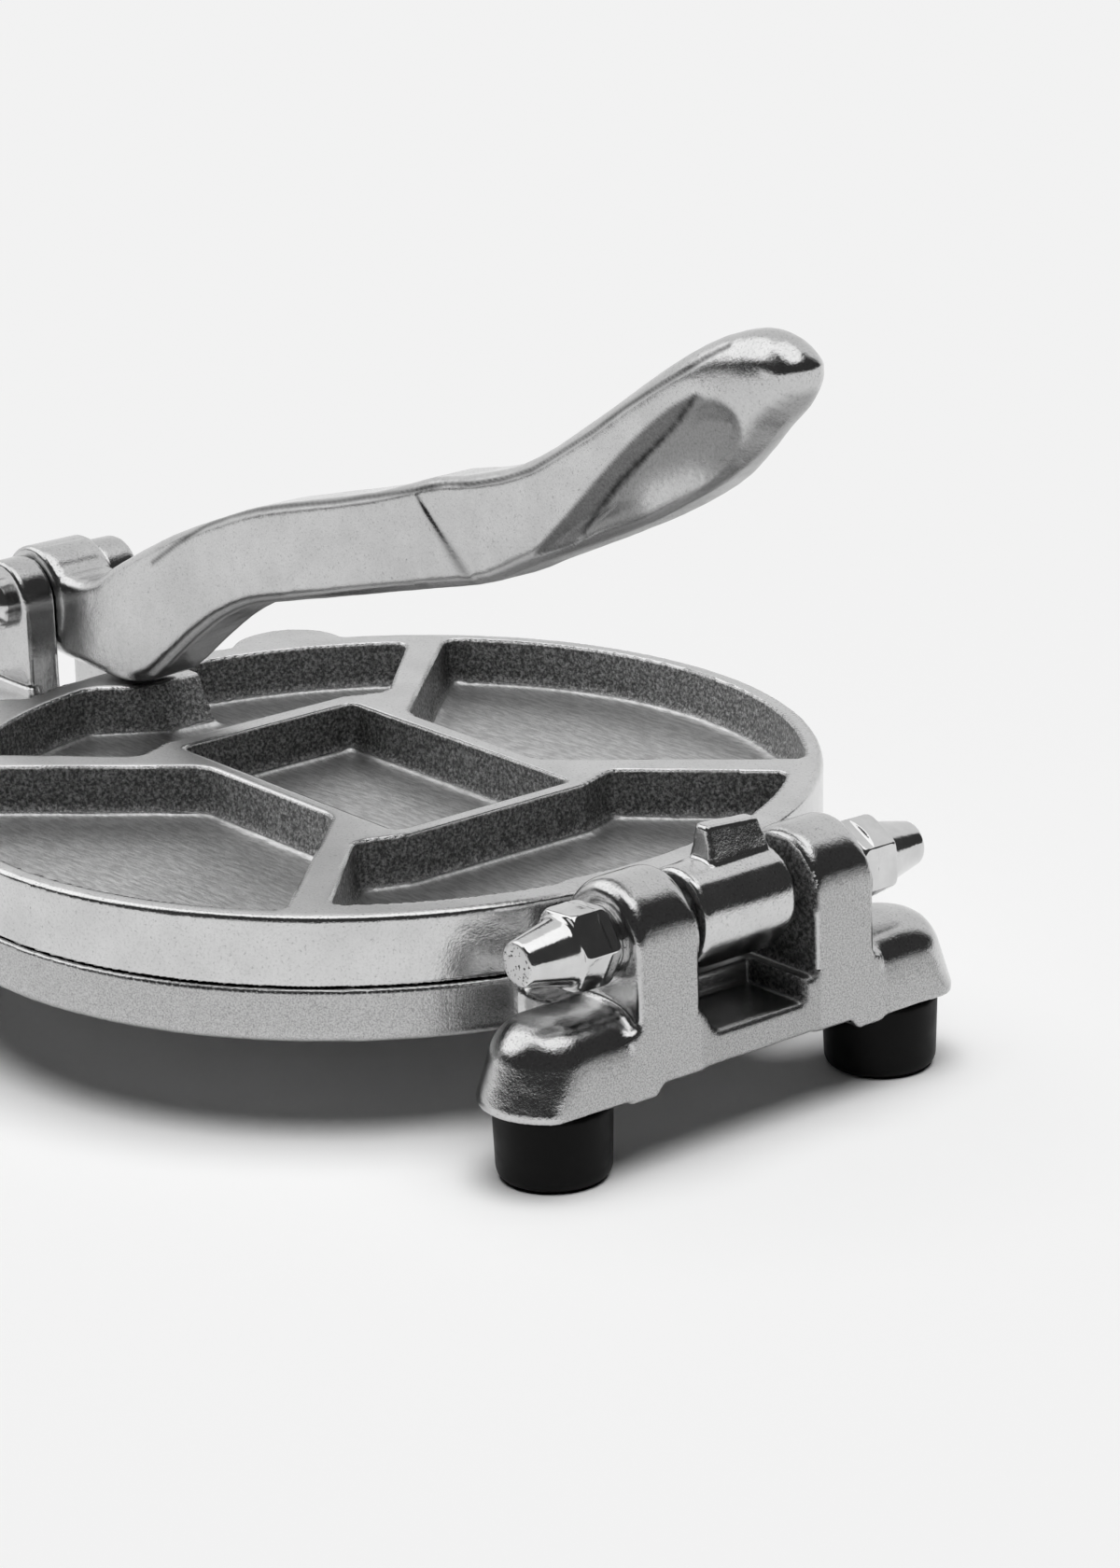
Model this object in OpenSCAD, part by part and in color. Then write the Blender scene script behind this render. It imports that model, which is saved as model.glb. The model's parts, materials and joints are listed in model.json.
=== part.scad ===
// Tortilla press: two cast round plates joined by a barrel hinge, and a lever
// whose nose presses on a pad at the rim opposite the hinge.
// Millimetres, +Z up, standing on z = 0 under the middle of the whole press.
// The hinge is on the +X side and the lever pivot on the -X side.

/* [Plates] */
// Diameter of both plates
plate_d = 200; // [190:1:220]
// Thickness of the lower plate
base_plate_t = 12.2; // [11:0.1:16]
// Thickness of the upper plate
lid_t = 15.5; // [14:0.5:20]
// Gap between the closed plates
plate_gap = 0.4; // [0.35:0.05:1]
// Bevel on the edges of the plates
edge_bevel = 1; // [0.5:0.25:2]

/* [Lid pockets] */
// Depth of the pockets in the top of the lid
pocket_depth = 11.5; // [8:0.5:12]
// Width of the rim at the two cross pockets
cross_rim_w = 4; // [3:0.5:6]
// Width of the rim at the hinge and lever pockets
side_rim_w = 7; // [5:0.5:9]
// Length of the middle pocket
middle_l = 80; // [70:1:86]
// Width of the middle pocket
middle_w = 48; // [40:1:52]
// Corner radius of the middle pocket
middle_corner_r = 3; // [1:0.5:6]
// Width of the ribs around the middle pocket
frame_rib_w = 4.5; // [3:0.5:7]
// Width of the diagonal ribs
diagonal_rib_w = 6.5; // [4:0.5:9]

/* [Lid pad and lobes] */
// Length of the lever pad, from the pocket's outer wall inwards
pad_l = 9; // [7:0.5:12]
// Width of the lever pad
pad_w = 18; // [14:1:26]
// How far the foot of the pad spreads past its top
pad_spread = 6; // [2:0.5:8]
// Radius of the two lifting lobes
lobe_r = 14; // [10:0.5:18]
// How far the lobes stand out of the rim
lobe_out = 10; // [6:0.5:12]
// Angle between each lobe and the lever
lobe_angle = 25; // [22:1:40]
// Thickness of the lobes
lobe_t = 10; // [6:0.5:14]

/* [Hinge] */
// Distance from the plate's edge to the hinge axis
hinge_out = 17.7; // [17:0.1:20]
// Depth of the hinge axis below the lid's top
hinge_drop = 2.2; // [1:0.1:4]
// Diameter of the lid's hinge barrel
barrel_d = 20.4; // [18:0.1:22]
// Length of the lid's hinge barrel
barrel_l = 24.8; // [18:0.2:28]
// Gap between the barrel and each hinge post
barrel_side_gap = 3.1; // [0.5:0.1:5]
// Diameter of the rounded top of the hinge posts
post_d = 24.4; // [22:0.2:26]
// Width of each hinge post
post_w = 16; // [12:0.5:20]
// Bevel on the round edges of the posts and the ears
boss_bevel = 1; // [0.5:0.25:2]
// Width of the stop lug on the barrel
lug_w = 14; // [8:0.5:16]
// Sideways offset of the stop lug
lug_shift = 2.5; // [0:0.5:4]
// Thickness of the stop lug
lug_t = 5; // [4:0.5:7]
// Height of the stop lug above the hinge axis
lug_h = 16.4; // [14:0.2:17]
// Diameter of the hinge rod
rod_d = 10; // [8:0.1:11]
// Radial clearance of the rod in its bores
rod_clearance = 0.08; // [0.02:0.01:0.1]
// How far the rod reaches into each cone nut
rod_reach = 14; // [10:0.5:16]

/* [Cone nuts] */
// Width across the flats of the nut's hexagon
nut_flats = 15.4; // [14:0.1:17]
// Length of the hexagon
nut_hex_l = 9; // [6:0.5:11]
// Diameter of the washer face under the hexagon
nut_seat_d = 14; // [12.5:0.5:14]
// Thickness of the washer face
nut_seat_t = 1.5; // [0.5:0.5:3]
// Length of the cone
nut_cone_l = 11; // [8:0.5:14]
// Diameter of the end of the cone
nut_tip_d = 9.6; // [6:0.2:11]
// How much narrower than the flats the cone starts
nut_cone_step = 1; // [0.5:0.1:3]
// How far the nuts are turned on the rod, in degrees
nut_turn = 3.7; // [0:0.1:30]

/* [Lever bracket] */
// Distance from the plate's edge to the lever's pivot
pivot_out = 23.6; // [22.5:0.1:25]
// Height of the pivot above the lid's top
pivot_rise = 14.4; // [13.5:0.1:17]
// Diameter of the rounded top of the ears
ear_d = 20.8; // [18:0.2:22]
// Thickness of each ear
ear_t = 8.5; // [6:0.25:10]
// Width of the shoulder that the ears stand on
shoulder_w = 56; // [46:1:66]
// Depth of the shoulder's top below the lid's top
shoulder_drop = 5; // [3:0.5:10]
// Corner radius of the shoulder
shoulder_r = 5; // [2:0.5:8]
// How far the shoulder's back stands in from the back of the wings
shoulder_back_inset = 1; // [0.5:0.5:4]

/* [Lever] */
// Diameter of the lever's hub
hub_d = 24.6; // [22:0.2:26]
// Width of the lever's hub
hub_w = 15.8; // [15:0.1:18]
// Bevel on the edges of the hub
hub_bevel = 0.8; // [0.4:0.1:2]
// Gap between the hub and each ear
hub_side_gap = 0.4; // [0.3:0.1:1.5]
// Depth of the saddle in the lever below the top of the hub
saddle_drop = 4.8; // [3:0.1:7]
// Length of the lever from its pivot to its tip
lever_l = 271.7; // [255:0.1:300]
// Height of the top of the grip above the lid
lever_rise = 119.7; // [112:0.1:135]
// Length of the grip
grip_l = 116; // [100:1:125]
// Thickness of the lever's arm
arm_t = 15.2; // [12:0.2:15.6]
// Extra thickness of the grip on each side
grip_step = 1; // [0:0.1:1.5]
// Gap between the lever's nose and the lid
nose_gap = 0.4; // [0.3:0.05:1]
// Depth of the finger hollows in the sides of the grip
hollow_depth = 2.2; // [1:0.1:4]
// Radius of the finger hollows' bottom
hollow_r = 24; // [18:1:30]
// Distance between the ends of the finger hollows' floor
hollow_l = 24; // [10:1:30]

/* [Lever pin] */
// Diameter of the lever's pin
pin_d = 8; // [6:0.1:9]
// Radial clearance of the pin in its bores
pin_clearance = 0.08; // [0.02:0.01:0.1]
// Diameter of the pin's head and of its cap
pin_head_d = 12; // [10:0.5:15]
// Height of the straight side of the head and of the cap
pin_head_side_h = 2; // [1.5:0.25:3]
// Height of the dome on the head and on the cap
pin_head_dome_h = 3; // [2:0.25:4]
// How far the pin reaches into its cap
pin_in_cap = 2.5; // [1.5:0.25:3]
// Gap past the end of the pin in its cap
pin_end_gap = 0.1; // [0.05:0.05:0.3]

/* [Transoms] */
// Distance from the plate's edge to the flat outer face at the hinge
hinge_face_out = 29.9; // [28:0.1:31]
// Distance from the plate's edge to the flat outer face at the lever
lever_face_out = 34; // [32:0.1:36]
// Distance from the outer faces in to the middle of the feet
foot_inset = 12.9; // [12.5:0.1:15]
// Radius of the wings at their foot
wing_r = 15.2; // [13.5:0.1:17]
// Distance between the middles of the two wings of a transom
wing_span = 89; // [84:1:100]
// Height of the wings' upright edge
wing_side_h = 2; // [1:0.1:5]
// Height of the wings' crown above that edge
wing_crown_h = 16.2; // [13:0.1:18]
// Depth of the wings' underside below the lower plate
wing_drop = 5.4; // [4:0.1:8]
// Depth of the step in the underside between the wings
belly_step = 2.3; // [1:0.1:3]
// Width of that step
belly_w = 52; // [40:1:60]
// Width of the web that joins a transom to the plate
web_w = 68; // [60:1:80]
// How far the web reaches in under the plate
web_reach = 20; // [10:1:40]
// Depth of the notch floor below the lower plate's top
notch_drop = 3; // [2:0.5:4]
// Depth of the lug recess in the notch floor
recess_depth = 5; // [3:0.5:6]
// Width of the lug recess
recess_w = 24; // [20:0.5:28]
// Clearance behind the lug in its recess
recess_clearance = 2.5; // [1:0.5:4]

/* [Feet] */
// Height of the rubber feet
foot_h = 15.9; // [12:0.1:22]
// Diameter of the feet at the top
foot_top_d = 24.6; // [22:0.2:26]
// Diameter of the feet at the bottom
foot_bottom_d = 23.6; // [21:0.2:25]
// Rounding of the feet's bottom edge
foot_edge_r = 2.5; // [1:0.25:4]
// Diameter of the screw well in each foot
well_d = 11; // [9:0.2:12]
// Rubber left above the screw well
well_roof = 4; // [2:0.5:6]
// Diameter of the foot screws
screw_d = 4; // [3:0.1:5]
// Diameter of the screws' heads
screw_head_d = 8; // [7:0.1:8.5]
// Height of the screws' heads
screw_head_h = 3; // [2:0.1:4]
// Depth of the screws in the casting
screw_bite = 9; // [6:0.5:11]
// Thickness of the washers
washer_t = 1; // [0.6:0.1:2]
// Clearance of the screws, the washers and their holes
screw_clearance = 0.1; // [0.05:0.01:0.2]

/* [Hidden] */
$fn = 96;

// How far cutting shapes run past the material
over = 1;
// The higher this power, the flatter the top of the wings
wing_crown_power = 2.6;
// Straight steps in each half of a wing's outline
wing_steps = 10;

// Heights above the table
plate_bottom_z = foot_h + wing_drop;
parting_z = plate_bottom_z + base_plate_t;
lid_z = parting_z + plate_gap;
lid_top_z = lid_z + lid_t;
hinge_z = lid_top_z - hinge_drop;
pivot_z = lid_top_z + pivot_rise;
notch_z = parting_z - notch_drop;
shoulder_z = lid_top_z - shoulder_drop;

// Places along X, measured from the plates' axis
plate_r = plate_d / 2;
hinge_x = plate_r + hinge_out;
pivot_x = -(plate_r + pivot_out);
hinge_face_x = plate_r + hinge_face_out;
lever_face_x = plate_r + lever_face_out;
web_x = plate_r - web_reach;
post_back_x = hinge_x - post_d / 2;

// Places along Y
notch_half_w = barrel_l / 2 + barrel_side_gap;
post_outer_y = notch_half_w + post_w;
ear_inner_y = hub_w / 2 + hub_side_gap;
ear_outer_y = ear_inner_y + ear_t;
foot_y = wing_span / 2;

// The lever presses in the middle of the pad's top
pad_outer_x = plate_r - side_rim_w;
nose_u = pivot_out + side_rim_w + pad_l / 2;
hub_r = hub_d / 2;
lobe_centre_r = plate_r + lobe_out - lobe_r;

// The press is centred over the origin between the lever's tip and its bracket
centre_x = (pivot_x + lever_l - lever_face_x) / 2;

// Cross-sections of the lever: distance from the pivot, then the heights of the top and
// the underside above the lid, half the width, and the radius of the corners
arm_hw = arm_t / 2;
grip_hw = arm_hw + grip_step;
grip_u = lever_l - grip_l;
saddle_v = pivot_rise + hub_r - saddle_drop;
LEVER = [
    [2, pivot_rise + hub_r - 2, pivot_rise - hub_r, arm_hw, 2.2],
    [nose_u - 23.5, saddle_v, nose_gap + 0.8, arm_hw, 2.2],
    [nose_u - 14.5, saddle_v + 0.1, nose_gap + 0.6, arm_hw, 2.2],
    [nose_u - 8.5, saddle_v + 2.2, nose_gap + 0.3, arm_hw, 2.2],
    [nose_u - 2.5, saddle_v + 6, nose_gap, arm_hw, 2.2],
    [nose_u + 3.5, saddle_v + 9.1, nose_gap + 0.6, arm_hw, 2.6],
    [47.6, 35.6, 4.2, arm_hw, 3.1],
    [57.6, 40.4, 11.5, arm_hw, 3.1],
    [67.6, 44.5, 18.9, arm_hw, 3.1],
    [77.6, 48.3, 25.1, arm_hw, 3.1],
    [87.6, 52.1, 29.7, arm_hw, 3.1],
    [97.6, 55.2, 32.7, arm_hw, 3.1],
    [115.6, 59.9, 37.3, arm_hw, 3.1],
    [135.6, 65.1, 42.5, arm_hw, 3.2],
    [grip_u - 6, lever_rise - 49.9, lever_rise - 73.6, arm_hw, 3.2],
    [grip_u + 2, lever_rise - 47.1, lever_rise - 71.4, grip_hw - 0.6, 3.6],
    [grip_u + 12, lever_rise - 45, lever_rise - 68.9, grip_hw, 4],
    [grip_u + 22, lever_rise - 42.2, lever_rise - 66, grip_hw, 4.8],
    [grip_u + 32, lever_rise - 39, lever_rise - 61.5, grip_hw, 5.5],
    [grip_u + 44, lever_rise - 32.8, lever_rise - 56.3, grip_hw, 6],
    [grip_u + 58, lever_rise - 24, lever_rise - 50.2, grip_hw, 6.5],
    [grip_u + 72, lever_rise - 14.9, lever_rise - 43.8, grip_hw, 7],
    [grip_u + 84, lever_rise - 7.6, lever_rise - 37.4, grip_hw, 7.4],
    [grip_u + 94, lever_rise - 2.3, lever_rise - 31.4, grip_hw, 7.2],
    [lever_l - 14, lever_rise, lever_rise - 24.8, grip_hw - 0.2, 6.8],
    [lever_l - 8.6, lever_rise, lever_rise - 19.4, grip_hw - 1.7, 6.2],
    [lever_l - 4, lever_rise - 1.6, lever_rise - 15.2, grip_hw - 3.8, 4.6],
    [lever_l - 1, lever_rise - 4, lever_rise - 11, grip_hw - 5.9, 2.6],
    [lever_l, lever_rise - 6, lever_rise - 8.4, grip_hw - 7.5, 1]
];

// Slope of the grip in degrees, and the middle of the finger hollows along the lever
// and above the lid
grip_tilt = 38;
hollow_u = lever_l - 38.6;
hollow_v = lever_rise - 26;

// ---- shared shapes ----

// A round bar along Y, centred on y = 0
module bar_y(d, l) {
    rotate([90, 0, 0]) cylinder(d = d, h = l, center = true);
}

// A bar along Y from y = 0 on, with both ends bevelled
module boss_y(d, l) {
    rotate([-90, 0, 0]) bevelled_disc(d / 2, l, boss_bevel);
}

// A disc standing on z = 0 with both edges bevelled
module bevelled_disc(r, h, bevel) {
    rotate_extrude()
        polygon([[0, 0], [r - bevel, 0], [r, bevel], [r, h - bevel], [r - bevel, h], [0, h]]);
}

// A block from one corner to the opposite one
module block(from, to) {
    translate(from) cube(to - from);
}

// A rectangle centred on the origin with round corners
module round_rectangle(l, w, r) {
    square([l - 2 * r, w], center = true);
    square([l, w - 2 * r], center = true);
    for (sx = [-1, 1], sy = [-1, 1])
        translate([sx * (l / 2 - r), sy * (w / 2 - r)]) circle(r = r);
}

// A domed button with its flat side on z = 0
module button(d, side_h, dome_h) {
    sphere_r = (d * d / 4 + dome_h * dome_h) / (2 * dome_h);
    intersection() {
        translate([0, 0, side_h + dome_h - sphere_r]) sphere(r = sphere_r);
        translate([0, 0, side_h]) cylinder(d = d + over, h = dome_h + over);
    }
    cylinder(d = d, h = side_h);
}

// ---- base ----

// Half of a wing's outline: distance from its middle, then height
function wing_point(f) =
    [wing_r * f, foot_h + wing_side_h + wing_crown_h * (1 - pow(f, wing_crown_power))];

// The rounded beam over the two feet of one side, drawn for the +X side
module wings(foot_x) {
    half = [for (i = [0:wing_steps]) wing_point(i / wing_steps)];
    outline = concat(half, [[wing_r, foot_h], [0, foot_h]]);
    for (s = [-1, 1]) translate([foot_x, s * foot_y, 0]) rotate_extrude() polygon(outline);
    translate([foot_x, foot_y, 0]) rotate([90, 0, 0]) linear_extrude(wing_span) {
        polygon(outline);
        mirror([1, 0]) polygon(outline);
    }
}

// What both transoms share: wings, a web to the plate, and the cuts below and outside
module transom(face_x, top_z) {
    foot_x = face_x - foot_inset;
    back_x = foot_x - wing_r;
    difference() {
        union() {
            wings(foot_x);
            block([web_x, -web_w / 2, plate_bottom_z], [foot_x, web_w / 2, notch_z]);
            block([back_x, -notch_half_w - over, foot_h],
                  [face_x, notch_half_w + over, notch_z]);
            children();
        }
        // flat outer face
        block([face_x, -plate_r, 0], [face_x + 3 * wing_r, plate_r, top_z]);
        // everything below the wings' underside
        block([0, -plate_r, -over], [face_x + over, plate_r, foot_h]);
        // step between the feet
        block([back_x - over, -belly_w / 2, 0],
              [face_x + over, belly_w / 2, foot_h + belly_step]);
        // notch down to its floor
        block([plate_r + over, -notch_half_w, notch_z],
              [face_x + over, notch_half_w, top_z]);
        // screw holes
        for (s = [-1, 1]) translate([foot_x, s * foot_y, 0])
            cylinder(d = screw_d + 2 * screw_clearance, h = foot_h + screw_bite + over);
    }
}

// One hinge post, on the +Y side
module hinge_post() {
    translate([hinge_x, notch_half_w, hinge_z]) boss_y(post_d, post_w);
    block([post_back_x, notch_half_w, foot_h], [hinge_x + post_d / 2, post_outer_y, hinge_z]);
}

module hinge_transom() {
    difference() {
        transom(hinge_face_x, hinge_z + post_d)
            for (m = [0, 1]) mirror([0, m, 0]) hinge_post();
        translate([hinge_x, 0, hinge_z])
            bar_y(rod_d + 2 * rod_clearance, 2 * post_outer_y + 2 * over);
        block([hinge_x - lug_t - recess_clearance, -recess_w / 2, notch_z - recess_depth],
              [hinge_face_x + over, recess_w / 2, notch_z + over]);
    }
}

// One ear of the lever bracket, on the +X and +Y side
module lever_ear() {
    ear_x = -pivot_x;
    translate([ear_x, ear_inner_y, pivot_z]) boss_y(ear_d, ear_t);
    block([ear_x - ear_d / 2, ear_inner_y, notch_z - over],
          [min(ear_x + ear_d / 2, lever_face_x), ear_outer_y, pivot_z]);
}

// Drawn for the +X side and mirrored into place
module lever_transom() {
    shoulder_x = lever_face_x - foot_inset - wing_r + shoulder_back_inset;
    difference() {
        union() {
            transom(lever_face_x, pivot_z + ear_d)
                translate([shoulder_x, 0, foot_h])
                    rotate([90, 0, 90]) linear_extrude(lever_face_x - shoulder_x)
                        translate([0, (shoulder_z - foot_h) / 2])
                            round_rectangle(shoulder_w, shoulder_z - foot_h, shoulder_r);
            for (m = [0, 1]) mirror([0, m, 0]) lever_ear();
        }
        translate([-pivot_x, 0, pivot_z])
            bar_y(pin_d + 2 * pin_clearance, 2 * ear_outer_y + 2 * over);
    }
}

module base_casting() {
    color("silver") union() {
        translate([0, 0, plate_bottom_z]) bevelled_disc(plate_r, base_plate_t, edge_bevel);
        hinge_transom();
        mirror([1, 0, 0]) lever_transom();
    }
}

// ---- lid ----

// A point well outside the plate along a diagonal rib's edge through a given point
function along_rib(p, sx, sy) = [p[0] + sx * plate_r, p[1] + sy * plate_r];

// Outline of the pocket on the +Y side before the rim cuts it off
module cross_pocket_wedge() {
    inner_y = middle_w / 2 + frame_rib_w;
    inner_x = inner_y - diagonal_rib_w / sqrt(2);
    polygon([
        [-inner_x, inner_y], [inner_x, inner_y],
        along_rib([inner_x, inner_y], 1, 1), along_rib([-inner_x, inner_y], -1, 1)
    ]);
}

// Outline of the pocket on the +X side before the rim cuts it off
module side_pocket_wedge() {
    inner_x = middle_l / 2 + frame_rib_w;
    tip_x = middle_l / 2;
    tip_y = tip_x - diagonal_rib_w / sqrt(2);
    polygon([
        [inner_x, -middle_w / 2], [inner_x, middle_w / 2], [tip_x, tip_y],
        along_rib([tip_x, tip_y], 1, 1), along_rib([tip_x, -tip_y], 1, -1), [tip_x, -tip_y]
    ]);
}

// The five pockets, standing on their floor
module pockets() {
    h = pocket_depth + over;
    linear_extrude(h) round_rectangle(middle_l, middle_w, middle_corner_r);
    for (a = [0, 180]) rotate(a) {
        intersection() {
            cylinder(r = plate_r - cross_rim_w, h = h);
            linear_extrude(h) cross_pocket_wedge();
        }
        intersection() {
            cylinder(r = plate_r - side_rim_w, h = h);
            linear_extrude(h) side_pocket_wedge();
        }
    }
}

// The block inside the rim that the lever's nose presses on
module lever_pad() {
    translate([-pad_outer_x, pad_w / 2, 0]) rotate([90, 0, 0]) linear_extrude(pad_w)
        polygon([
            [-over, 0], [pad_l + pad_spread, 0],
            [pad_l, pocket_depth], [-over, pocket_depth]
        ]);
}

module lid_barrel() {
    neck_z = lid_z + edge_bevel;
    translate([hinge_x, 0, hinge_z]) bar_y(barrel_d, barrel_l);
    // neck from the rim to the barrel
    block([plate_r - side_rim_w, -barrel_l / 2, neck_z],
          [hinge_x, barrel_l / 2, lid_top_z]);
    // stop lug
    block([hinge_x - lug_t / 2, lug_shift - lug_w / 2, hinge_z],
          [hinge_x + lug_t / 2, lug_shift + lug_w / 2, hinge_z + lug_h]);
}

module lid_casting() {
    color("silver") difference() {
        union() {
            difference() {
                union() {
                    translate([0, 0, lid_z]) bevelled_disc(plate_r, lid_t, edge_bevel);
                    for (s = [-1, 1])
                        translate([-lobe_centre_r * cos(lobe_angle),
                                   s * lobe_centre_r * sin(lobe_angle), lid_top_z - lobe_t])
                            bevelled_disc(lobe_r, lobe_t, edge_bevel);
                }
                translate([0, 0, lid_top_z - pocket_depth]) pockets();
            }
            translate([0, 0, lid_top_z - pocket_depth]) lever_pad();
            lid_barrel();
        }
        translate([hinge_x, 0, hinge_z])
            bar_y(rod_d + 2 * rod_clearance, barrel_l + 2 * over);
    }
}

// ---- lever ----

// Catmull-Rom curve through the sections, at t from 0 to the last index
function section_at(t) =
    let (n = len(LEVER) - 1, i = min(floor(t), n - 1), f = t - i,
         a = LEVER[max(i - 1, 0)], b = LEVER[i], c = LEVER[i + 1], d = LEVER[min(i + 2, n)])
    0.5 * (2 * b + (c - a) * f + (2 * a - 5 * b + 4 * c - d) * f * f
           + (3 * b - a - 3 * c + d) * f * f * f);

// The outline of one section: a rectangle with round corners, in the plane across the lever
function section_ring(s, corner_steps = 3) = [
    for (q = [0:3], k = [0:corner_steps])
        let (a = 90 * q + 90 * k / corner_steps, r = min(s[4], s[3], (s[1] - s[2]) / 2),
             sy = (q == 0 || q == 3) ? 1 : -1, sz = q < 2 ? 1 : -1)
        [s[0], sy * (s[3] - r) + r * cos(a),
         (s[1] + s[2]) / 2 + sz * ((s[1] - s[2]) / 2 - r) + r * sin(a)]
];

// The solid through all the sections
module lever_arm(steps = 2) {
    n = (len(LEVER) - 1) * steps;
    rings = [for (i = [0:n]) section_ring(section_at(i / steps))];
    m = len(rings[0]);
    sides = [
        for (i = [0:n - 1], j = [0:m - 1], half = [0, 1])
            let (a = i * m + j, b = i * m + (j + 1) % m)
            half == 0 ? [a, a + m, b] : [b, a + m, b + m]
    ];
    polyhedron([for (ring = rings, p = ring) p],
               concat(sides, [[for (j = [0:m - 1]) j], [for (j = [m - 1:-1:0]) n * m + j]]));
}

// The finger hollow in the +Y side of the grip: a trough with round ends
module finger_hollow() {
    translate([hollow_u, grip_hw + hollow_r - hollow_depth, hollow_v])
        rotate([0, 90 - grip_tilt, 0]) {
            cylinder(r = hollow_r, h = hollow_l, center = true);
            for (s = [-1, 1]) translate([0, 0, s * hollow_l / 2]) sphere(r = hollow_r);
        }
}

module lever_casting() {
    color("silver") translate([pivot_x, 0, lid_top_z]) difference() {
        union() {
            lever_arm();
            translate([0, 0, pivot_rise]) rotate([90, 0, 0])
                translate([0, 0, -hub_w / 2]) bevelled_disc(hub_r, hub_w, hub_bevel);
        }
        for (m = [0, 1]) mirror([0, m, 0]) finger_hollow();
        translate([0, 0, pivot_rise]) bar_y(pin_d + 2 * pin_clearance, hub_w + 2 * over);
    }
}

// ---- rods, nuts and pins ----

module hinge_rod() {
    color("dimgray") translate([hinge_x, 0, hinge_z])
        bar_y(rod_d, 2 * (post_outer_y + rod_reach));
}

// A blind nut on its side: washer face, hexagon and cone
module cone_nut(side) {
    color("gainsboro") translate([hinge_x, side * post_outer_y, hinge_z])
        rotate([-side * 90, 0, 0]) difference() {
            union() {
                cylinder(d = nut_seat_d, h = nut_seat_t);
                translate([0, 0, nut_seat_t]) rotate(nut_turn)
                    cylinder(d = nut_flats / cos(30), h = nut_hex_l, $fn = 6);
                translate([0, 0, nut_seat_t + nut_hex_l])
                    cylinder(d1 = nut_flats - nut_cone_step, d2 = nut_tip_d, h = nut_cone_l);
            }
            translate([0, 0, -over])
                cylinder(d = rod_d + 2 * rod_clearance, h = rod_reach + 2 * over);
        }
}

module lever_pin() {
    color("gainsboro") translate([pivot_x, 0, pivot_z]) {
        translate([0, -ear_outer_y, 0]) rotate([-90, 0, 0])
            cylinder(d = pin_d, h = 2 * ear_outer_y + pin_in_cap);
        translate([0, -ear_outer_y, 0]) rotate([90, 0, 0])
            button(pin_head_d, pin_head_side_h, pin_head_dome_h);
    }
}

module lever_pin_cap() {
    color("gainsboro") translate([pivot_x, ear_outer_y, pivot_z]) rotate([-90, 0, 0])
        difference() {
            button(pin_head_d, pin_head_side_h, pin_head_dome_h);
            translate([0, 0, -over])
                cylinder(d = pin_d + 2 * pin_clearance, h = pin_in_cap + over + pin_end_gap);
        }
}

// ---- feet ----

// Places children under one wing: side is 1 at the hinge and -1 at the lever
module at_foot(side, hand) {
    face_x = side > 0 ? hinge_face_x : lever_face_x;
    translate([side * (face_x - foot_inset), hand * foot_y, 0]) children();
}

module rubber_foot(side, hand) {
    top_r = foot_top_d / 2;
    bottom_r = foot_bottom_d / 2;
    color("black") at_foot(side, hand) difference() {
        rotate_extrude() {
            polygon([
                [0, 0], [bottom_r - foot_edge_r, 0], [bottom_r, foot_edge_r],
                [top_r, foot_h], [0, foot_h]
            ]);
            translate([bottom_r - foot_edge_r, foot_edge_r]) intersection() {
                circle(r = foot_edge_r);
                translate([0, -foot_edge_r]) square(foot_edge_r);
            }
        }
        translate([0, 0, -over]) cylinder(d = well_d, h = foot_h - well_roof + over);
        cylinder(d = screw_d + 2 * screw_clearance, h = foot_h + over);
    }
}

module foot_washer(side, hand) {
    color("gray") at_foot(side, hand) translate([0, 0, foot_h - well_roof - washer_t])
        difference() {
            cylinder(d = well_d - 2 * screw_clearance, h = washer_t);
            translate([0, 0, -over])
                cylinder(d = screw_d + 2 * screw_clearance, h = washer_t + 2 * over);
        }
}

module foot_screw(side, hand) {
    seat_z = foot_h - well_roof - washer_t;
    color("gray") at_foot(side, hand) {
        translate([0, 0, seat_z - screw_head_h]) cylinder(d = screw_head_d, h = screw_head_h);
        translate([0, 0, seat_z])
            cylinder(d = screw_d, h = washer_t + well_roof + screw_bite);
    }
}

// Moves what is drawn about the plates' axis into the frame of the whole press
module placed() {
    translate([-centre_x, 0, 0]) children();
}

placed() base_casting();
placed() lid_casting();
placed() lever_casting();
placed() hinge_rod();
placed() cone_nut(-1);  // near_cone_nut
placed() cone_nut(1);  // far_cone_nut
placed() lever_pin();
placed() lever_pin_cap();
placed() rubber_foot(1, -1);  // hinge_near_foot
placed() rubber_foot(1, 1);  // hinge_far_foot
placed() rubber_foot(-1, -1);  // lever_near_foot
placed() rubber_foot(-1, 1);  // lever_far_foot
placed() foot_washer(1, -1);  // hinge_near_foot_washer
placed() foot_washer(1, 1);  // hinge_far_foot_washer
placed() foot_washer(-1, -1);  // lever_near_foot_washer
placed() foot_washer(-1, 1);  // lever_far_foot_washer
placed() foot_screw(1, -1);  // hinge_near_foot_screw
placed() foot_screw(1, 1);  // hinge_far_foot_screw
placed() foot_screw(-1, -1);  // lever_near_foot_screw
placed() foot_screw(-1, 1);  // lever_far_foot_screw
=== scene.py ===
import bpy
import json
import math
import numpy as np
from mathutils import Matrix, Vector, noise
from mathutils.bvhtree import BVHTree

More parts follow.
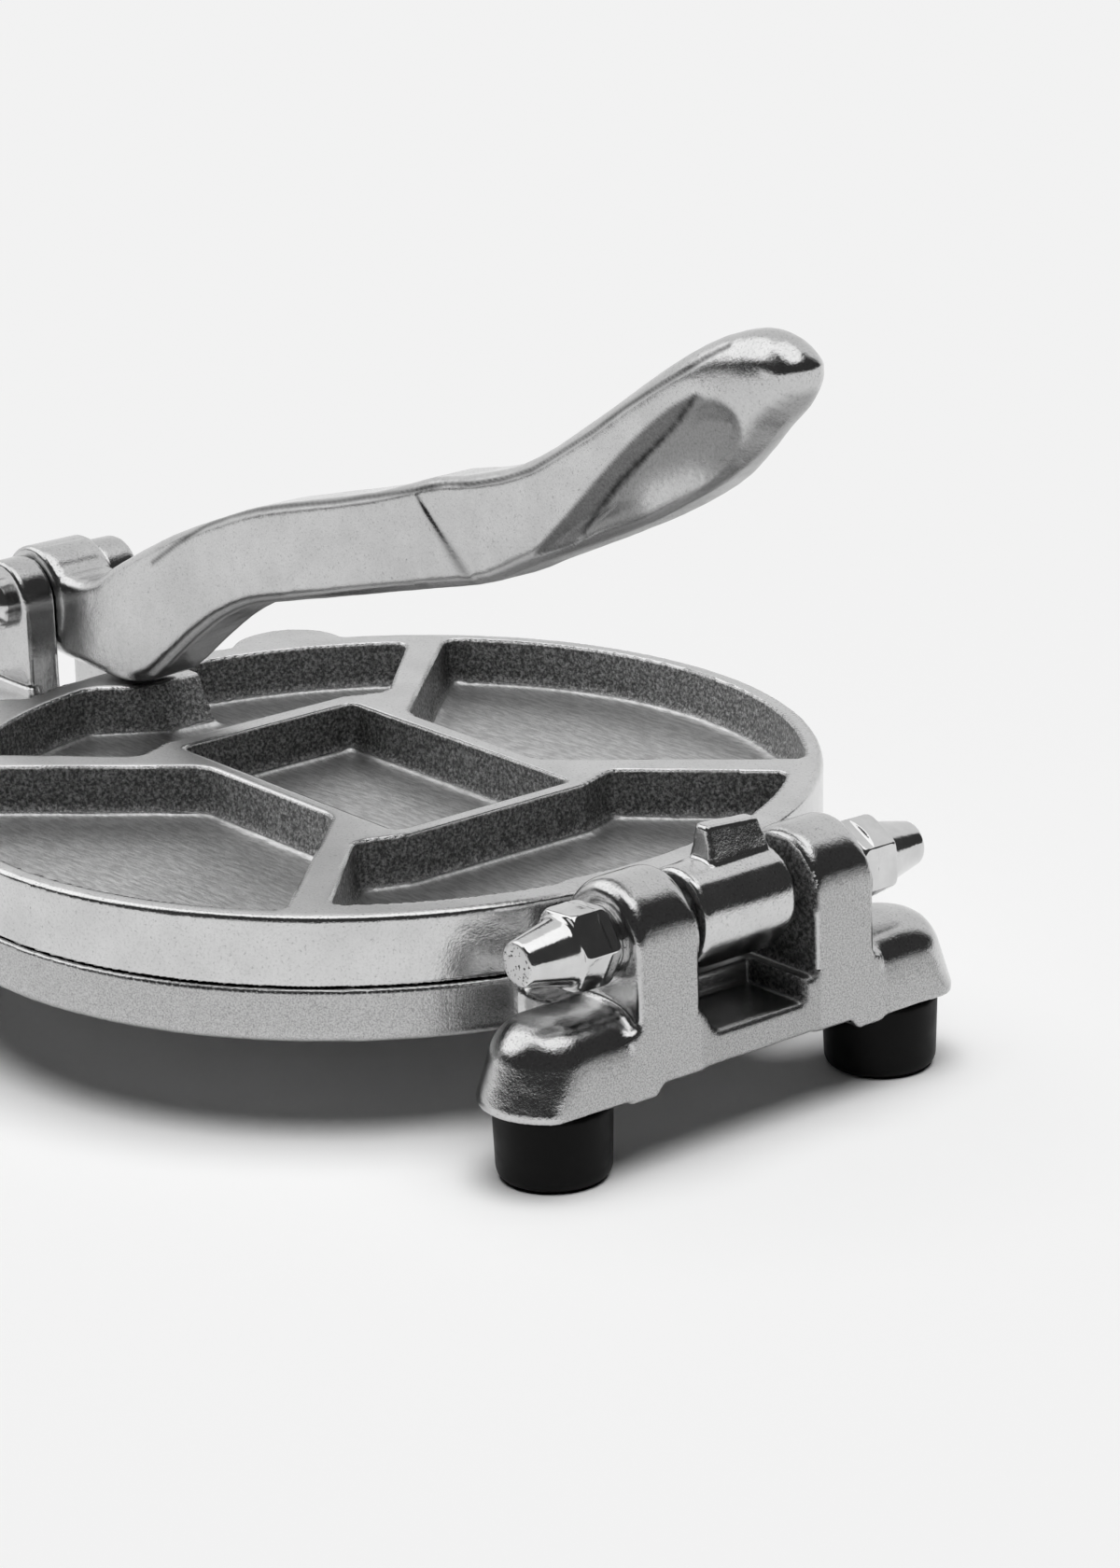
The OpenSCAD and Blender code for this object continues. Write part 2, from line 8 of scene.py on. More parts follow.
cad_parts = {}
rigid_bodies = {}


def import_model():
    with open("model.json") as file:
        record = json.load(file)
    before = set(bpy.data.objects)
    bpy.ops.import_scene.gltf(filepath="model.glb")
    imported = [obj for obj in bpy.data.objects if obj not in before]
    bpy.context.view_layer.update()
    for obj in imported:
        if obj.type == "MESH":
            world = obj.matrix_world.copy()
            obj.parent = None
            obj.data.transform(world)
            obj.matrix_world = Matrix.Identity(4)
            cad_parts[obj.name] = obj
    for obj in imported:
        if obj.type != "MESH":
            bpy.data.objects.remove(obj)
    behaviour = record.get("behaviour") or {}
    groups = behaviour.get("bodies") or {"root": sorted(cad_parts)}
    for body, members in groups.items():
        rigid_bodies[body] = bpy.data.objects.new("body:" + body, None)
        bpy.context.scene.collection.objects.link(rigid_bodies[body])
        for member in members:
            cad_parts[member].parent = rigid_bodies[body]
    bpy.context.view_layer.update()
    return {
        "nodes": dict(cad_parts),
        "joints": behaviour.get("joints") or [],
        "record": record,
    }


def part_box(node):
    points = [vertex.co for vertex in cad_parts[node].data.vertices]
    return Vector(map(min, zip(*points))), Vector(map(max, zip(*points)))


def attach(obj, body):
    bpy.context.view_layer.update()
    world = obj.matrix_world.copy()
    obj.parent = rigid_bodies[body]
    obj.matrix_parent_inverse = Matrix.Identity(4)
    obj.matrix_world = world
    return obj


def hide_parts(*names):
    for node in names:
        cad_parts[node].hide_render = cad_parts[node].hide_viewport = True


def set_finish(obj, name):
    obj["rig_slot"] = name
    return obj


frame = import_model()

# Shapes are written in millimetres. X is measured from the plates' axis and Z from the table.
MM = 0.001
JOINT = {j["name"]: j for j in frame["joints"]}


def joint_place(name):
    """A joint's position in the part's frame, in millimetres."""
    return [c / MM for c in JOINT[name]["pos_m"]]


# ---- sizes that the shapes share ----

# The plates' axis, the hinge and the lever's pivot
PLATE_R = 100.0
HINGE_OUT = 17.7
PLATE_X = joint_place("lid_hinge")[0] - PLATE_R - HINGE_OUT
HINGE_X = PLATE_R + HINGE_OUT
HINGE_Z = joint_place("lid_hinge")[2]
PIVOT_X = joint_place("lever_hinge")[0] - PLATE_X
PIVOT_Z = joint_place("lever_hinge")[2]

# Heights, each from the one that it belongs to
LID_TOP = HINGE_Z + 2.2
LID_BOTTOM = LID_TOP - 15.5
BASE_TOP = LID_BOTTOM - 0.4
BASE_BOTTOM = BASE_TOP - 12.2
POCKET_FLOOR = LID_TOP - 11.5
WING_BOTTOM = BASE_BOTTOM - 5.4
NOTCH_FLOOR = BASE_TOP - 3.0
BELLY_BOTTOM = WING_BOTTOM + 2.3
SHOULDER_TOP = LID_TOP - 5.0

# Brackets: outer faces, feet, the wings over the feet, and the web to the plate
HINGE_FACE = PLATE_R + 29.9
LEVER_FACE = PLATE_R + 34.0
FOOT_INSET = 12.9
FOOT_Y = 44.5
WING_R = 15.2
WING_SIDE = 2.0
WING_CROWN = 16.2
WING_LEAN = 0.30
WING_DOME = 0.014
WING_SHOULDER = 5.0
WEB_HALF = 34.0
WEB_X = PLATE_R - 20.0
BELLY_HALF = 28.0
BELLY_STEP = 3.0
SHOULDER_HALF = 28.0
NOTCH_HALF = 15.5
CAST_ROUND = 1.5

# Hinge posts with the recess between them, and the lid's barrel
POST_R = 12.2
POST_OUT = 31.5
POST_EDGE = 0.7
POST_CROWN = 3.2
POST_SPREAD = 2.6
SPREAD_HEIGHT = 14.0
RECESS_HALF = 12.0
RECESS_DEPTH = 5.0
RECESS_SLANT = 0.55
RECESS_BACK = HINGE_X - 5.0
BARREL_R = 10.2
BARREL_HALF = 12.4
BARREL_SPLAY = 0.28
ROD_BORE_R = 5.08

# Ears and lever
EAR_R = 10.4
EAR_IN = 8.3
EAR_OUT = 16.8
PIN_BORE_R = 4.08
BORE_EDGE = 0.4
HUB_R = 12.3
HUB_HALF = 7.9
ARM_HALF = 7.6
GRIP_HALF = 8.6


# ---- distance functions: negative inside the metal, positive outside ----

def join(a, b, r):
    """Union with a fillet of about r."""
    h = np.maximum(r - np.abs(a - b), 0) / r
    return np.minimum(a, b) - h * h * r / 4


def meet(a, b, r):
    """Intersection with its edge rounded to about r."""
    return -join(-a, -b, r)


def cut(a, b, r):
    """What is left of a when b is taken out, with its edge rounded to about r."""
    return meet(a, -b, r)


def ring(u, v, r):
    """A round bar across the u, v plane."""
    return np.hypot(u, v) - r


def side_of(u, v, point, angle):
    """Distance to the right of a line through the point at that angle, in degrees."""
    a = math.radians(angle)
    return (u - point[0]) * math.sin(a) - (v - point[1]) * math.cos(a)


def smooth_step(t):
    t = np.clip(t, 0, 1)
    return t * t * (3 - 2 * t)


# ---- meshes from distance functions ----

CORNERS = [(i, j, k) for i in (0, 1) for j in (0, 1) for k in (0, 1)]
# The least squared slope that a shape is taken to have, so that no point moves too far
FLATTEST = 0.04


def crossing_points(value, cell_ids):
    """The middle of each crossed cell's surface, in grid steps."""
    i, j, k = cell_ids.T
    corner = {c: value[i + c[0], j + c[1], k + c[2]] for c in CORNERS}
    total = np.zeros((len(cell_ids), 3))
    count = np.zeros(len(cell_ids))
    for a in CORNERS:
        for axis in range(3):
            if a[axis]:
                continue
            b = tuple(1 if n == axis else c for n, c in enumerate(a))
            crossed = (corner[a] < 0) != (corner[b] < 0)
            t = np.where(crossed, corner[a] / (corner[a] - corner[b] + 1e-12), 0)
            point = np.array(a, float)[None] * crossed[:, None]
            point[:, axis] += t * crossed
            total += point
            count += crossed
    return cell_ids + total / count[:, None]


def grid_faces(inside, number):
    """The four cells round each crossed grid edge, wound to face outwards."""
    faces = []
    for a in range(3):
        b, c = (a + 1) % 3, (a + 2) % 3
        first = np.take(inside, range(inside.shape[a] - 1), axis=a)
        second = np.take(inside, range(1, inside.shape[a]), axis=a)
        edge = np.argwhere(first != second)
        edge = edge[(edge[:, b] > 0) & (edge[:, c] > 0)]
        leaving = first[tuple(edge.T)]
        here = np.zeros(3, int)
        step_b = np.eye(3, dtype=int)[b]
        step_c = np.eye(3, dtype=int)[c]
        quad = [number[tuple((edge - s).T)] for s in (here, step_b, step_b + step_c, step_c)]
        quad = np.stack(quad, 1)
        quad[~leaving] = quad[~leaving][:, ::-1]
        faces.append(quad)
    return np.concatenate(faces)


def settle(points, shape, cell, turns=3):
    """Moves the points onto the surface itself, and gives the directions out of it."""
    h = 0.05 * cell
    for turn in range(turns + 1):
        slope = np.empty_like(points)
        for axis in range(3):
            step = np.zeros(3)
            step[axis] = h
            slope[:, axis] = (shape(*(points + step).T) - shape(*(points - step).T)) / (2 * h)
        size = np.maximum((slope ** 2).sum(1), FLATTEST)
        if turn < turns:
            move = shape(*points.T) / size
            points = points - np.clip(move, -cell, cell)[:, None] * slope
    return points, slope / np.maximum(np.sqrt((slope ** 2).sum(1)), 1e-9)[:, None]


def surface(shape, low, high, cell):
    """Points, faces and outward directions of the surface where shape is zero."""
    axes = [np.arange(a - 2 * cell, b + 3 * cell, cell) for a, b in zip(low, high)]
    grid = np.meshgrid(*axes, indexing="ij", sparse=True)
    value = shape(*grid)
    inside = value < 0
    full = sum(inside[i:inside.shape[0] - 1 + i, j:inside.shape[1] - 1 + j,
                      k:inside.shape[2] - 1 + k].astype(np.int8) for i, j, k in CORNERS)
    crossed = (full > 0) & (full < 8)
    cell_ids = np.argwhere(crossed)
    number = np.full(crossed.shape, -1)
    number[crossed] = np.arange(len(cell_ids))
    points = crossing_points(value, cell_ids) * cell + np.array([a[0] for a in axes])
    faces = grid_faces(inside, number)
    points, out = settle(points, shape, cell)
    return points, faces, out


def waves(points, size, seed):
    """Smooth unevenness from -1 to 1 with bumps of about that size, in millimetres."""
    shift = Vector((seed * 17.3, seed * 5.7, seed * 11.9))
    return np.array([noise.noise(Vector(p) / size + shift) for p in points])


def add_piece(name, points, faces, body, slot, nodes, marks=None):
    """A smooth-shaded piece that stands for CAD nodes. Its marks are finish weights per point."""
    mesh = bpy.data.meshes.new(name)
    place = (points + np.array([PLATE_X, 0, 0])) * MM
    mesh.vertices.add(len(place))
    mesh.vertices.foreach_set("co", place.astype(np.float32).ravel())
    mesh.loops.add(faces.size)
    mesh.loops.foreach_set("vertex_index", faces.astype(np.int32).ravel())
    mesh.polygons.add(len(faces))
    mesh.polygons.foreach_set("loop_start", np.arange(0, faces.size, 4, dtype=np.int32))
    mesh.update(calc_edges=True)
    mesh.validate()
    mesh.shade_smooth()
    for mark, weight in (marks or {}).items():
        attribute = mesh.attributes.new(mark, "FLOAT", "POINT")
        attribute.data.foreach_set("value", np.clip(weight, 0, 1).astype(np.float32))
    piece = bpy.data.objects.new(name, mesh)
    bpy.context.scene.collection.objects.link(piece)
    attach(piece, body)
    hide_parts(*nodes)
    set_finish(piece, slot)
    return piece


# ---- base ----

BASE_CELL = 0.8
# Half the width of the box that the plates are worked out over
PLATE_REACH = PLATE_R + 0.5


def wings(x, y, z, foot_x):
    """The boxy beam over two feet, its sides leaning in and its top slightly crowned."""
    along = np.hypot(x - foot_x, np.maximum(np.abs(y) - FOOT_Y, 0))
    up = z - WING_BOTTOM - WING_SIDE
    side = along - WING_R + WING_LEAN * np.maximum(up, 0)
    crown = up - WING_CROWN + WING_DOME * along ** 2
    return meet(meet(side, crown, WING_SHOULDER), WING_BOTTOM - z, 1.2)


def belly_height(width):
    """Height of the brackets' underside, which steps up between the feet."""
    rise = smooth_step((BELLY_HALF - width) / BELLY_STEP)
    return WING_BOTTOM + (BELLY_BOTTOM - WING_BOTTOM) * rise


def transom(x, y, z, face_x):
    """Wings and web that both brackets share, for a bracket on the +X side."""
    foot_x = face_x - FOOT_INSET
    width = np.abs(y)
    beam = np.maximum(foot_x - WING_R - x, width - WEB_HALF)
    beam = meet(beam, z - NOTCH_FLOOR, CAST_ROUND)
    web = np.maximum(np.maximum(WEB_X - x, width - WEB_HALF), BASE_BOTTOM - z)
    web = meet(web, z - NOTCH_FLOOR, CAST_ROUND)
    web = np.maximum(web, x - foot_x)
    solid = join(join(beam, web, 1.0), wings(x, y, z, foot_x), 1.6)
    return meet(solid, belly_height(width) - z, CAST_ROUND)


def notch(x, y, z):
    """The gap in a bracket's middle that the barrel or the hub turns in."""
    gap = meet(np.abs(y) - NOTCH_HALF, NOTCH_FLOOR - z, CAST_ROUND)
    return np.maximum(gap, PLATE_R + 1 - x)


def front_recess(x, y, z):
    """The recess in the floor between the hinge posts, open at the face, with one slanting side."""
    slant = -RECESS_HALF - RECESS_SLANT * (z - NOTCH_FLOOR + RECESS_DEPTH)
    recess = np.maximum(np.maximum(y - RECESS_HALF, slant - y), RECESS_BACK - x)
    recess = meet(recess, NOTCH_FLOOR - RECESS_DEPTH - z, 1.2)
    return np.maximum(recess, z - NOTCH_FLOOR - 1.0)


def hinge_bracket(x, y, z):
    """Two posts for the rod, with the notch and the front recess between them."""
    width = np.abs(y)
    spread = POST_SPREAD * smooth_step((HINGE_Z - SPREAD_HEIGHT - z) / SPREAD_HEIGHT)
    flank = meet(width - POST_OUT - spread, NOTCH_HALF - width, 0.5)
    stem = np.maximum(HINGE_X - POST_R - x, z - HINGE_Z)
    stem = meet(meet(stem, flank, POST_EDGE), belly_height(width) - z, CAST_ROUND)
    crowned = POST_EDGE + POST_CROWN * smooth_step((z - HINGE_Z + 2) / 11)
    post_top = meet(ring(x - HINGE_X, z - HINGE_Z, POST_R), flank, crowned)
    solid = join(transom(x, y, z, HINGE_FACE), stem, 2.0)
    solid = cut(solid, notch(x, y, z), 1.0)
    solid = cut(solid, front_recess(x, y, z), 0.8)
    solid = np.minimum(meet(solid, x - HINGE_FACE, 1.4), post_top)
    return cut(solid, ring(x - HINGE_X, z - HINGE_Z, ROD_BORE_R), BORE_EDGE)


def lever_bracket(x, y, z):
    """The shoulder and the two ears for the lever's pin, drawn for the +X side."""
    width = np.abs(y)
    ear_x = -PIVOT_X
    profile = join(ring(x - ear_x, z - PIVOT_Z, EAR_R),
                   np.maximum(np.abs(x - ear_x) - EAR_R, z - PIVOT_Z), 0.2)
    ear = meet(meet(width - EAR_OUT, EAR_IN - width, 0.5), profile, 1.0)
    ear = np.maximum(ear, NOTCH_FLOOR - 1 - z)
    back = LEVER_FACE - FOOT_INSET - WING_R + 1
    shoulder = meet(width - SHOULDER_HALF, z - SHOULDER_TOP, 5.0)
    shoulder = meet(np.maximum(shoulder, WING_BOTTOM - z), back - x, CAST_ROUND)
    solid = join(transom(x, y, z, LEVER_FACE), shoulder, 4.0)
    solid = cut(solid, notch(x, y, z), 1.0)
    solid = join(solid, ear, 1.5)
    solid = meet(solid, x - LEVER_FACE, 2.2)
    return cut(solid, ring(x - ear_x, z - PIVOT_Z, PIN_BORE_R), BORE_EDGE)


def base_shape(x, y, z):
    plate = meet(np.hypot(x, y) - PLATE_R, z - BASE_TOP, 0.3)
    plate = meet(plate, BASE_BOTTOM - z, 3.0)
    brackets = np.minimum(hinge_bracket(x, y, z), lever_bracket(-x, y, z))
    return join(plate, brackets, 2.5)


def make_base():
    low = (-LEVER_FACE - 8, -PLATE_REACH, WING_BOTTOM)
    high = (HINGE_FACE, PLATE_REACH, PIVOT_Z + EAR_R)
    points, faces, out = surface(base_shape, low, high, BASE_CELL)
    x, y, z = points.T
    away = np.hypot(x, y)
    # The notches stay as cast, most of all their side walls, whose dark colour is partly as-cast
    # grey and partly painted shade.
    rough = ((np.abs(y) < NOTCH_HALF + 0.5) & (x > PLATE_R)).astype(float)
    rough *= smooth_step((np.abs(out[:, 1]) + 0.2) * 1.2)
    # The brackets' end faces are ground, and the plate's side a little less.
    face = smooth_step((np.abs(out[:, 0]) - 0.9) / 0.08)
    face *= (np.abs(x) > PLATE_R + 20)
    plate_side = (np.abs(away - PLATE_R) < 0.4) * (z < BASE_TOP - 0.5)
    face = np.maximum(face, 0.8 * plate_side)
    bump = 0.10 * waves(points, 9, 1) + 0.05 * waves(points, 3.2, 2)
    pressing_face = (z > BASE_TOP - 0.5) & (away < PLATE_R - 1)
    points = points + out * (bump * ~pressing_face)[:, None]
    return add_piece("base", points, faces, "base", "base_metal", ["base_casting"],
                     {"rough_cast": rough, "ground_face": face})


# ---- lid ----

LID_CELL = 0.75

# Pockets seen from above: corners, the angles of their sides, and how near the rim they come
CROSS_CORNER = (23.9, 28.0)
CROSS_ANGLE = 46.2
CROSS_R = 96.2
SIDE_CORNER = (44.5, 24.0)
SIDE_BEND = 68.5
SIDE_TIP = (40.0, 34.9)
SIDE_ANGLE = 43.8
SIDE_R = 93.0
MIDDLE_AT = (0.7, -0.2)
MIDDLE_HALF = (40.2, 24.2)
POCKET_DRAFT = 0.07
POCKET_FILLET = 3.2

# Lobes on the edge at the lever's end
LOBE_AT = (-87.0, 40.6)
LOBE_R = 14.0
LOBE_DEPTH = 10.0

# The pad that the lever presses on: its front, far side, and the slanting near side
PAD_FRONT = -84.9
PAD_FAR = 11.8
PAD_NEAR = (-85.4, -5.8)
PAD_NEAR_ANGLE = 52
PAD_DRAFT = 0.55

# The stop lug on the barrel, and how its four sides widen downwards
LUG_TOP = 14.2
LUG_TILT = 0.08
LUG_FRONT = HINGE_X + 1.5
LUG_BACK = HINGE_X - 2.2
LUG_NEAR = -4.2
LUG_FAR = 9.4
LUG_DRAFT = {"front": 0.29, "back": 0.16, "near": 0.10, "far": 0.24}


def cross_pocket(x, y):
    """The pocket on the +Y side, seen from above."""
    right = side_of(x, y, CROSS_CORNER, CROSS_ANGLE)
    left = side_of(-x, y, CROSS_CORNER, CROSS_ANGLE)
    wall = meet(right, left, 1.0)
    wall = meet(wall, CROSS_CORNER[1] - y, 3.0)
    return meet(wall, np.hypot(x, y) - CROSS_R, 4.0)


def side_pocket(x, y):
    """The pocket on the +X side, seen from above."""
    corner_x, corner_y = SIDE_CORNER
    bend = side_of(-x, np.abs(y), (-corner_x, corner_y), SIDE_BEND)
    inner = np.minimum(corner_x - x, bend)
    rib = -side_of(x, np.abs(y), SIDE_TIP, SIDE_ANGLE)
    wall = meet(inner, rib, 3.0)
    return meet(wall, np.hypot(x, y) - SIDE_R, 4.0)


def middle_pocket(x, y):
    return meet(np.abs(x - MIDDLE_AT[0]) - MIDDLE_HALF[0],
                np.abs(y - MIDDLE_AT[1]) - MIDDLE_HALF[1], 3.5)


def pockets(x, y, z):
    draft = POCKET_DRAFT * (LID_TOP - z)
    plan = np.minimum(cross_pocket(x, y), cross_pocket(x, -y))
    plan = np.minimum(plan, np.minimum(side_pocket(x, y), side_pocket(-x, y)))
    plan = np.minimum(plan, middle_pocket(x, y))
    return meet(plan + draft, POCKET_FLOOR - z, POCKET_FILLET)


def lever_pad(x, y, z):
    """The block inside the rim that the lever's nose presses on."""
    deep = LID_TOP - z
    front = x - PAD_FRONT - 0.085 * y - PAD_DRAFT * deep
    near_side = side_of(x, y, PAD_NEAR, PAD_NEAR_ANGLE) - 0.1 * deep
    block = meet(meet(front, y - PAD_FAR, 0.7), near_side, 0.7)
    return np.maximum(block, 3 - PLATE_R - x)


def stop_lug(x, y, z):
    """The lug on the barrel, whose top rises a little towards the near side."""
    high = LID_TOP + LUG_TOP + LUG_TILT * (LUG_FAR - y) - z
    along = np.maximum(x - LUG_FRONT - LUG_DRAFT["front"] * high,
                       LUG_BACK - x - LUG_DRAFT["back"] * high)
    across = np.maximum(y - LUG_FAR - LUG_DRAFT["far"] * high,
                        LUG_NEAR - y - LUG_DRAFT["near"] * high)
    lug = meet(meet(along, across, 0.5), -high, 0.5)
    return np.maximum(lug, HINGE_Z + 3 - z)


def lid_hinge_side(x, y, z):
    """Barrel, its neck to the lid, and the lug, with a wide fillet only behind the lug's foot."""
    profile = ring(x - HINGE_X, z - HINGE_Z, BARREL_R)
    neck = np.maximum(np.maximum(z - LID_TOP + 1.0, x - HINGE_X), 90 - x)
    profile = join(profile, neck, 9.0)
    splay = np.maximum(HINGE_X - 6 - x, 0) * BARREL_SPLAY
    solid = meet(profile, np.abs(y) - BARREL_HALF - splay, 1.8)
    solid = meet(solid, LID_BOTTOM + 1 - z, 1.0)
    low_down = smooth_step((LID_TOP + 9.0 - z) / 4)
    behind = smooth_step((HINGE_X + 1.0 - x) / 4)
    return join(solid, stop_lug(x, y, z), 0.6 + 4.0 * low_down * behind)


def lid_shape(x, y, z):
    disc = np.maximum(np.hypot(x, y) - PLATE_R, LID_BOTTOM - z)
    lobe = ring(x - LOBE_AT[0], np.abs(y) - LOBE_AT[1], LOBE_R)
    lobe = meet(lobe, LID_TOP - LOBE_DEPTH - z, 1.2)
    body = meet(join(disc, lobe, 2.0), z - LID_TOP, 1.6)
    body = meet(body, LID_BOTTOM - z, 0.5)
    body = cut(body, pockets(x, y, z), 0.15)
    pad = meet(lever_pad(x, y, z), z - LID_TOP, 1.0)
    pad = np.maximum(pad, POCKET_FLOOR - 2 - z)
    body = np.minimum(body, np.maximum(join(body, pad, 2.0), z - LID_TOP))
    body = join(body, lid_hinge_side(x, y, z), 3.0)
    return cut(body, ring(x - HINGE_X, z - HINGE_Z, ROD_BORE_R), BORE_EDGE)


def make_lid():
    low = (-PLATE_R - 2, -PLATE_REACH, LID_BOTTOM)
    high = (HINGE_X + BARREL_R + 0.5, PLATE_REACH, LID_TOP + LUG_TOP + 0.2)
    points, faces, out = surface(lid_shape, low, high, LID_CELL)
    x, y, z = points.T
    in_pocket = pockets(x, y, z) < 1.2
    # Rough as-cast pocket walls, whose darker colour is partly painted shade, and satin pocket
    # floors
    wall = in_pocket * smooth_step((0.80 - out[:, 2]) / 0.25) * (z < LID_TOP - 0.5)
    floor = in_pocket * (1 - wall) * (z < LID_TOP - 3)
    top = smooth_step((out[:, 2] - 0.97) / 0.03) * (np.abs(z - LID_TOP) < 0.6)
    bump = 0.08 * waves(points, 9, 3) + 0.04 * waves(points, 3, 4)
    bump = bump + 0.12 * wall * waves(points, 1.6, 5)
    pressing_face = z < LID_BOTTOM + 0.3
    points = points + out * (bump * ~pressing_face * (1 - 0.6 * top))[:, None]
    return add_piece("lid", points, faces, "lid", "lid_metal", ["lid_casting"],
                     {"rough_cast": wall, "pocket_floor": floor, "ground_top": top})


# ---- lever ----

LEVER_CELL = 0.6
MAP_STEP = 0.5

# The finger hollow on the grip's side: X from the plates' axis, height above the lid. Its
# border is the top line and then the foot line, and its two facets meet in the crease.
HOLLOW_TOP = np.array([(67.9, 61.5), (73.9, 67.6), (82.3, 75.1), (92.6, 84.8), (102.7, 93.7),
                       (112.5, 101.1), (119.2, 105.1), (124.8, 107.1)], float)
HOLLOW_FOOT = np.array([(130.4, 107.6), (134.9, 105.6), (136.1, 102.1), (135.1, 97.6),
                        (130.8, 91.2), (123.2, 84.8), (114.6, 80.0), (103.9, 74.8),
                        (94.0, 71.7), (88.0, 69.4), (79.8, 66.0), (73.7, 63.6)], float)
CREASE = np.array([(86.0, 71.0), (90.5, 76.8), (98.6, 84.7), (108.5, 92.9), (115.3, 98.5),
                   (123.0, 106.1)], float)
FACET_SLOPE = 0.45
DISH_DEPTH = 4.4
LIP = 0.8
# A painted highlight low in the hollow: middle, direction, half length and half width
PAINTED_GLINT_AT = (114, 84.5)
PAINTED_GLINT_WAY = (0.91, 0.41)
PAINTED_GLINT_SIZE = (11, 3.6)
# The thin seam along the top of both sides
SEAM = np.array([(-72, 33), (-60, 40.5), (-50, 46), (-40, 50.2), (-30, 53.5), (-20, 56.2),
                 (-10, 58.6), (0, 61), (10, 63.8), (20, 66.5), (30, 69.3), (40, 72.5),
                 (50, 74.3), (60, 77.2), (70, 81), (80, 86.7), (90, 92.5), (100, 99.3),
                 (110, 105), (120, 110.5), (125, 113.7), (130, 116.5)], float)
SEAM_WIDTH = 0.45
SEAM_DEPTH = 0.25
# The step where the grip stands proud of the arm
STEP = np.array([(31.7, 67.4), (48.0, 53.6)], float)
# The grip and the round tip: where each starts, from the tip, and how long it takes
GRIP_FROM = 106
GRIP_OVER = 70
TIP_FROM = 34
TIP_OVER = 24
# How far the top and bottom, and then the sides, round over: on the arm, with what the grip
# adds and what the tip adds
ROUND_DOWN = (3.0, 3.0, 4.6)
ROUND_IN = (2.6, 1.8, 3.8)


def lever_outline():
    """The CAD lever's outline seen from the side: its top line and then its underside."""
    node = frame["nodes"]["lever_casting"]
    tree = BVHTree.FromPolygons([v.co for v in node.data.vertices],
                                [list(p.vertices) for p in node.data.polygons])
    low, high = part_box("lever_casting")
    inset, round_end, spacing = 0.1 * MM, 8 * MM, 1 * MM
    stations = np.concatenate([np.arange(low.x + inset, high.x - round_end, spacing),
                               np.linspace(high.x - round_end, high.x - inset, 24)])
    upper, lower = [], []
    for x in stations:
        for heights, start, way in ((upper, 1.0, -1.0), (lower, -1.0, 1.0)):
            hit = tree.ray_cast(Vector((x, 0, start)), Vector((0, 0, way)))[0]
            heights.append((x, hit.z))
    line = upper + lower[::-1]
    return np.array(line) / MM - np.array([PLATE_X, 0])


def path_distance(path, x, z, closed=True):
    """Distance from each x, z to a line through the path's points, and whether it is inside."""
    ends = np.roll(path, -1, axis=0) if closed else path[1:]
    starts = path if closed else path[:-1]
    best = np.full(x.shape, 1e9)
    within = np.zeros(x.shape, bool)
    for (ax, az), (bx, bz) in zip(starts, ends):
        dx, dz = bx - ax, bz - az
        length = dx * dx + dz * dz
        if length < 1e-9:
            continue
        t = np.clip(((x - ax) * dx + (z - az) * dz) / length, 0, 1)
        best = np.minimum(best, (x - ax - t * dx) ** 2 + (z - az - t * dz) ** 2)
        if closed and az != bz:
            across = ((az > z) != (bz > z)) & (x < dx * (z - az) / (bz - az) + ax)
            within ^= across
    return np.sqrt(best), within


class SideMap:
    """A quantity worked out once over the lever's side, then looked up by x and z."""

    def __init__(self, low, high, step, work):
        self.low = low
        self.step = step
        self.x = np.arange(low[0], high[0] + step, step)
        self.z = np.arange(low[1], high[1] + step, step)
        self.value = work(*np.meshgrid(self.x, self.z, indexing="ij"))

    def __call__(self, x, z):
        x, z = np.broadcast_arrays(x, z)
        u = np.clip((x - self.low[0]) / self.step, 0, len(self.x) - 1.001)
        v = np.clip((z - self.low[1]) / self.step, 0, len(self.z) - 1.001)
        i, j = u.astype(int), v.astype(int)
        u, v = u - i, v - j
        near = self.value[i, j] * (1 - v) + self.value[i, j + 1] * v
        far = self.value[i + 1, j] * (1 - v) + self.value[i + 1, j + 1] * v
        return near * (1 - u) + far * u


def lift(path):
    """A path's heights above the lid as heights above the table."""
    return path + np.array([0, LID_TOP])


def rounded(path, turns=3):
    """A closed path with its corners cut again and again until it is smooth."""
    for _ in range(turns):
        after = np.roll(path, -1, axis=0)
        path = np.stack([0.75 * path + 0.25 * after, 0.25 * path + 0.75 * after], 1).reshape(-1, 2)
    return path


def right_of_chord(path, x, z):
    """Distance to the right of the straight line from the path's first point to its last."""
    (ax, az), (bx, bz) = lift(path)[0], lift(path)[-1]
    return side_of(x, z, (ax, az), math.degrees(math.atan2(bz - az, bx - ax)))


def lower_facet(x, z):
    """Where the side of the grip lies below the crease."""
    return right_of_chord(CREASE, x, z) > 0


def blurred(value, width):
    """A map averaged over a square that many cells wide."""
    kernel = np.ones(width) / width
    for axis in (0, 1):
        padded = np.pad(value, [(width // 2,) * 2 if a == axis else (0, 0) for a in (0, 1)], "edge")
        value = np.apply_along_axis(np.convolve, axis, padded, kernel, "valid")
    return value


